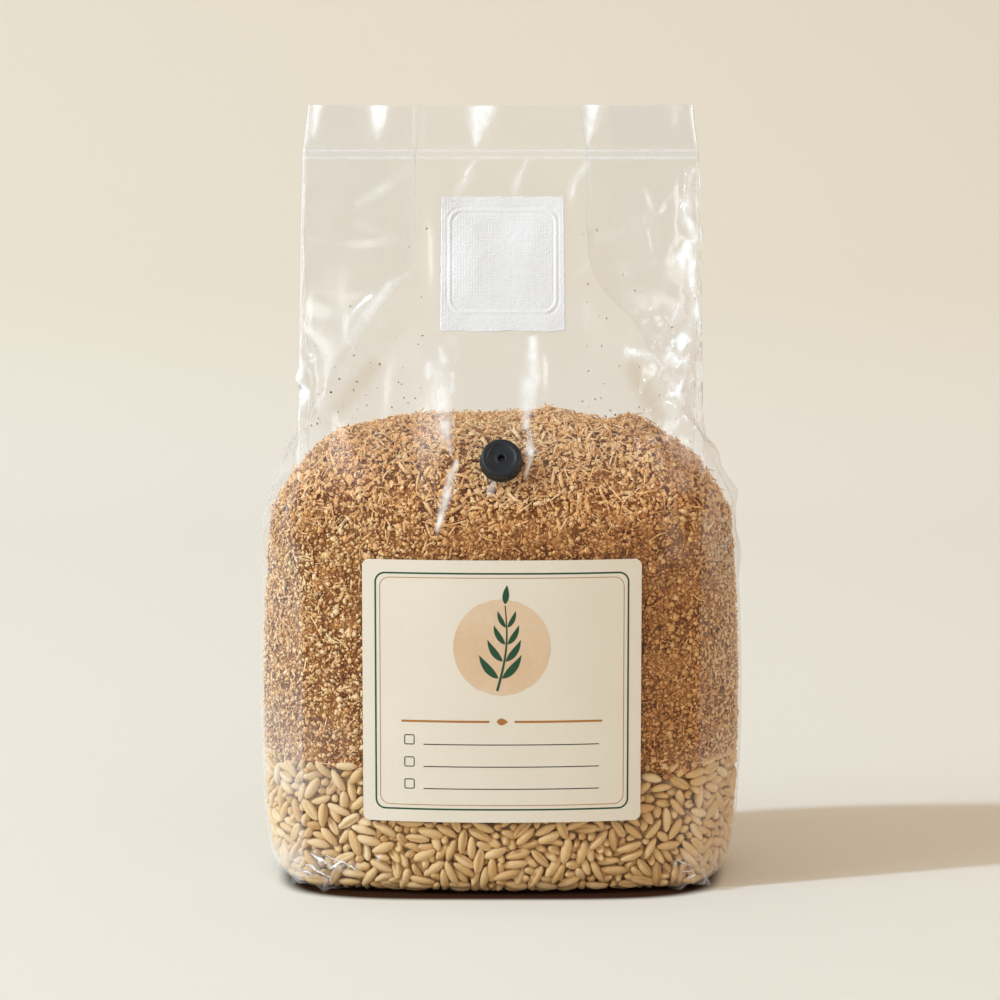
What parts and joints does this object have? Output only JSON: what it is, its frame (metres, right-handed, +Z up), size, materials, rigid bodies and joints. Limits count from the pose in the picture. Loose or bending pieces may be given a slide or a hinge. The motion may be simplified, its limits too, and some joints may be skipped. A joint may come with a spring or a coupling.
{
  "type": "mushroom grow bag",
  "caption": "Sealed clear gusseted bag filled with grain under sawdust, with a breathable filter patch, a rubber injection port and a paper label.",
  "frame": {"origin": "middle of the flat base, on the surface that the bag stands on", "axes": "+Z up to the sealed top, -Y out of the front with the label, +X to the right as seen from the front"},
  "size_m": [0.1592, 0.0828, 0.252],
  "materials": {
    "film": "clear glossy polypropylene film, slightly hazy where it is folded double",
    "grain": "hydrated creased cereal grains, matt with a slight sheen",
    "sawdust": "coarse moist hardwood sawdust and shavings, matt",
    "filter": "white non-woven filter sheet with a fine embossed weave and a pressed weld line",
    "port": "black moulded rubber, satin",
    "label": null
  },
  "bodies": {
    "root": {"film_bag": "film", "grain_layer": "grain", "sawdust_block": "sawdust", "filter_patch": "filter", "injection_port": "port", "label": "label"}
  },
  "joints": []
}
